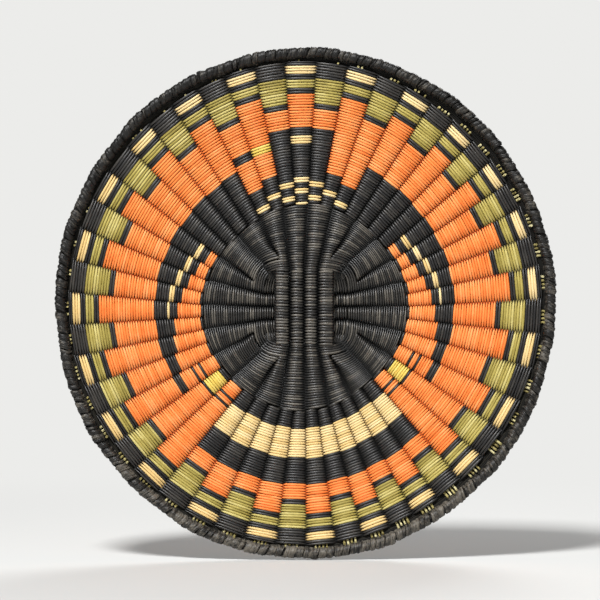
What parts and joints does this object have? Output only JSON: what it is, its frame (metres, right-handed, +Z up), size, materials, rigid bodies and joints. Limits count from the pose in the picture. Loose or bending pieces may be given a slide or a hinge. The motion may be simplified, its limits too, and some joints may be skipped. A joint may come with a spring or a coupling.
{
  "type": "wicker plaque",
  "caption": "Round shallow wicker wall plaque of flat rib bundles and dyed wefts, with a spread-winged bird in a banded border and a bound rim.",
  "frame": {"origin": "the middle of the crossed mats, on the flat back of the rear mat", "axes": "+Z up as the plaque hangs, +Y out of its back into the wall, +X to the right of someone who faces it"},
  "size_m": [0.3146, 0.0279, 0.3212],
  "materials": {
    "stem": "peeled natural stem, matt with fine grain",
    "binding": "dark fibrous leaf strip, matt with a grey sheen",
    "umber_weft": "dark dyed stem, low sheen",
    "black_weft": "black dyed stem, low sheen",
    "orange_weft": "orange dyed stem, low sheen",
    "green_weft": "olive green dyed stem, low sheen",
    "cream_weft": "cream stem, low sheen",
    "yellow_weft": "yellow dyed stem, low sheen"
  },
  "bodies": {
    "root": {"upright_rib_1": "stem", "upright_rib_2": "stem", "upright_rib_3": "stem", "upright_rib_4": "stem", "upright_rib_5": "stem", "upright_rib_6": "stem", "upright_rib_7": "stem", "upright_rib_8": "stem", "level_rib_1": "stem", "level_rib_2": "stem", "level_rib_3": "stem", "level_rib_4": "stem", "level_rib_5": "stem", "level_rib_6": "stem", "level_rib_7": "stem", "level_rib_8": "stem", "upper_right_rib_1": "stem", "upper_right_rib_2": "stem", "upper_right_rib_3": "stem", "upper_right_rib_4": "stem", "lower_right_rib_1": "stem", "lower_right_rib_2": "stem", "lower_right_rib_3": "stem", "lower_right_rib_4": "stem", "lower_left_rib_1": "stem", "lower_left_rib_2": "stem", "lower_left_rib_3": "stem", "lower_left_rib_4": "stem", "upper_left_rib_1": "stem", "upper_left_rib_2": "stem", "upper_left_rib_3": "stem", "upper_left_rib_4": "stem", "front_mat_weave": "umber_weft", "back_mat_weave": "umber_weft", "first_ring_weave": "umber_weft", "inner_ring_weave": "umber_weft", "border_ring_weave": "black_weft", "green_ring_weave": "green_weft", "field_above_head_weave": "orange_weft", "field_below_tail_weave": "orange_weft", "right_field_weave": "orange_weft", "left_field_weave": "orange_weft", "right_wing_weave": "black_weft", "left_wing_weave": "black_weft", "right_body_weave": "orange_weft", "left_body_weave": "orange_weft", "right_talon_weave": "yellow_weft", "left_talon_weave": "yellow_weft", "head_weave": "black_weft", "tail_base_weave": "black_weft", "tail_band_weave": "cream_weft", "tail_tip_weave": "black_weft", "rim_core": "stem", "rim_binding": "binding"}
  },
  "joints": []
}
